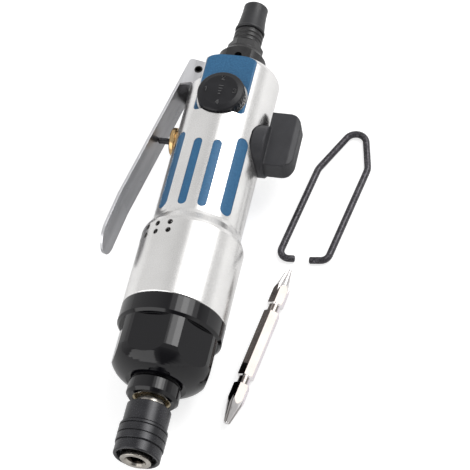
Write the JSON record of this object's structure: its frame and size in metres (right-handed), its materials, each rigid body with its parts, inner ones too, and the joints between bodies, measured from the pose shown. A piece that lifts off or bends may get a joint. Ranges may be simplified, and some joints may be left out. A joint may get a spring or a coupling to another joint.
{
  "type": "pneumatic screwdriver",
  "caption": "Straight pneumatic impact screwdriver with a throttle lever, a reverse lever, a speed dial and a quick-change bit chuck, shown with a double ended bit and a wire hanger.",
  "frame": {"origin": "on the drive axis, in the plane of the chuck sleeve's front rim, at the mouth of the bit socket", "axes": "+Y along the drive axis from the chuck to the hose end, +Z towards the dial, +X towards the reverse lever"},
  "size_m": [0.1014, 0.2269, 0.0438],
  "materials": {
    "aluminium": "satin anodised",
    "blue_panel": "satin",
    "black_glossy_metal": "gloss black",
    "black_oxide": "satin black oxide",
    "black_plastic": "satin",
    "black_rubber": "matte",
    "grey_rubber": "matte",
    "lever_steel": "polished dark steel",
    "steel": "ground",
    "hard_steel": "ground",
    "bronze": "sintered",
    "brass": "turned",
    "chrome": "polished",
    "vane": "pressed laminate",
    "gasket": "matte"
  },
  "bodies": {
    "housing": {"body_housing": "aluminium", "regulator_panel": "blue_panel", "grip_inlays": "blue_panel", "front_housing": "black_glossy_metal", "housing_gasket": "gasket", "inlet_bushing": "black_oxide", "inlet_seal": "black_rubber", "inlet_strainer": "steel", "hose_nipple": "black_oxide", "hose_sleeve": "grey_rubber", "lever_pin": "steel", "valve_bushing": "brass", "stem_seal": "black_rubber", "valve_spring": "steel", "spool_clip": "hard_steel", "reverse_detent_ball": "steel", "reverse_detent_spring": "steel", "dial_detent_ball": "steel", "dial_detent_spring": "steel", "rear_end_plate": "hard_steel", "rear_bearing": "steel", "cylinder_liner": "hard_steel", "front_end_plate": "hard_steel", "front_bearing": "steel", "dowel_pin": "steel", "anvil_bushing": "bronze"},
    "lever": {"throttle_lever": "lever_steel"},
    "stem": {"valve_stem": "black_oxide", "poppet_seal": "black_rubber"},
    "reverse": {"reverse_lever": "black_plastic", "reverse_spool": "steel", "spool_seal": "black_rubber"},
    "dial": {"regulator_dial": "black_plastic", "regulator_spool": "steel", "dial_seal": "black_rubber"},
    "motor": {"rotor": "hard_steel", "vanes": "vane", "hammer_cage": "hard_steel", "hammer_pins": "steel"},
    "hammer_a": {"hammer_front": "hard_steel"},
    "hammer_b": {"hammer_rear": "hard_steel"},
    "output": {"anvil": "steel", "chuck_balls": "steel", "chuck_washer": "hard_steel", "chuck_clip": "black_oxide", "chuck_spring": "steel"},
    "sleeve": {"chuck_sleeve": "black_oxide"},
    "bit": {"screwdriver_bit": "chrome"},
    "hanger": {"hanger_wire": "black_oxide"}
  },
  "joints": [
    {"name": "throttle_lever_hinge", "type": "hinge", "parent": "housing", "child": "lever", "pos_m": [-0.0159, 0.183, 0], "axis": [0, 0, 1], "range_deg": [0, 7.5], "stiffness_Nm_per_rad": 1.2, "springref_deg": -8.59},
    {"name": "valve_stem_slide", "type": "slide", "parent": "housing", "child": "stem", "axis": [1, 0, 0], "range_m": [0, 0.0047], "stiffness_N_per_m": 20, "springref_m": -0.001, "deforming": ["valve_spring"]},
    {"name": "reverse_lever_turn", "type": "hinge", "parent": "housing", "child": "reverse", "pos_m": [0.0187, 0.1493, 0], "axis": [1, 0, 0], "range_deg": [-25, 25]},
    {"name": "dial_turn", "type": "hinge", "parent": "housing", "child": "dial", "pos_m": [0, 0.16445, 0.018], "axis": [0, 0, 1], "range_deg": [-135, 135]},
    {"name": "motor_turn", "type": "hinge", "parent": "housing", "child": "motor", "pos_m": [0, 0.078, 0], "axis": [0, 1, 0], "continuous": true},
    {"name": "output_turn", "type": "hinge", "parent": "housing", "child": "output", "pos_m": [0, 0.031, 0], "axis": [0, 1, 0], "continuous": true},
    {"name": "hammer_front_swing", "type": "hinge", "parent": "motor", "child": "hammer_a", "pos_m": [0, 0.0446, 0.0116], "axis": [0, 1, 0], "range_deg": [-2.5, 2.5]},
    {"name": "hammer_rear_swing", "type": "hinge", "parent": "motor", "child": "hammer_b", "pos_m": [0, 0.0509, -0.0116], "axis": [0, 1, 0], "range_deg": [-2.5, 2.5]},
    {"name": "chuck_sleeve_slide", "type": "slide", "parent": "output", "child": "sleeve", "axis": [0, -1, 0], "range_m": [0, 0.004], "stiffness_N_per_m": 1500, "springref_m": -0.002, "deforming": ["chuck_spring"]},
    {"name": "bit_lift", "type": "slide", "parent": "housing", "child": "bit", "axis": [0, 0, 1], "range_m": [0, 0.06]},
    {"name": "hanger_lift", "type": "slide", "parent": "housing", "child": "hanger", "axis": [0, 0, 1], "range_m": [0, 0.06]}
  ],
  "couplings": [
    {"joint": "valve_stem_slide", "follows": "throttle_lever_hinge", "m_per_rad": 0.0351},
    {"joint": "output_turn", "follows": "motor_turn", "ratio": 1}
  ]
}
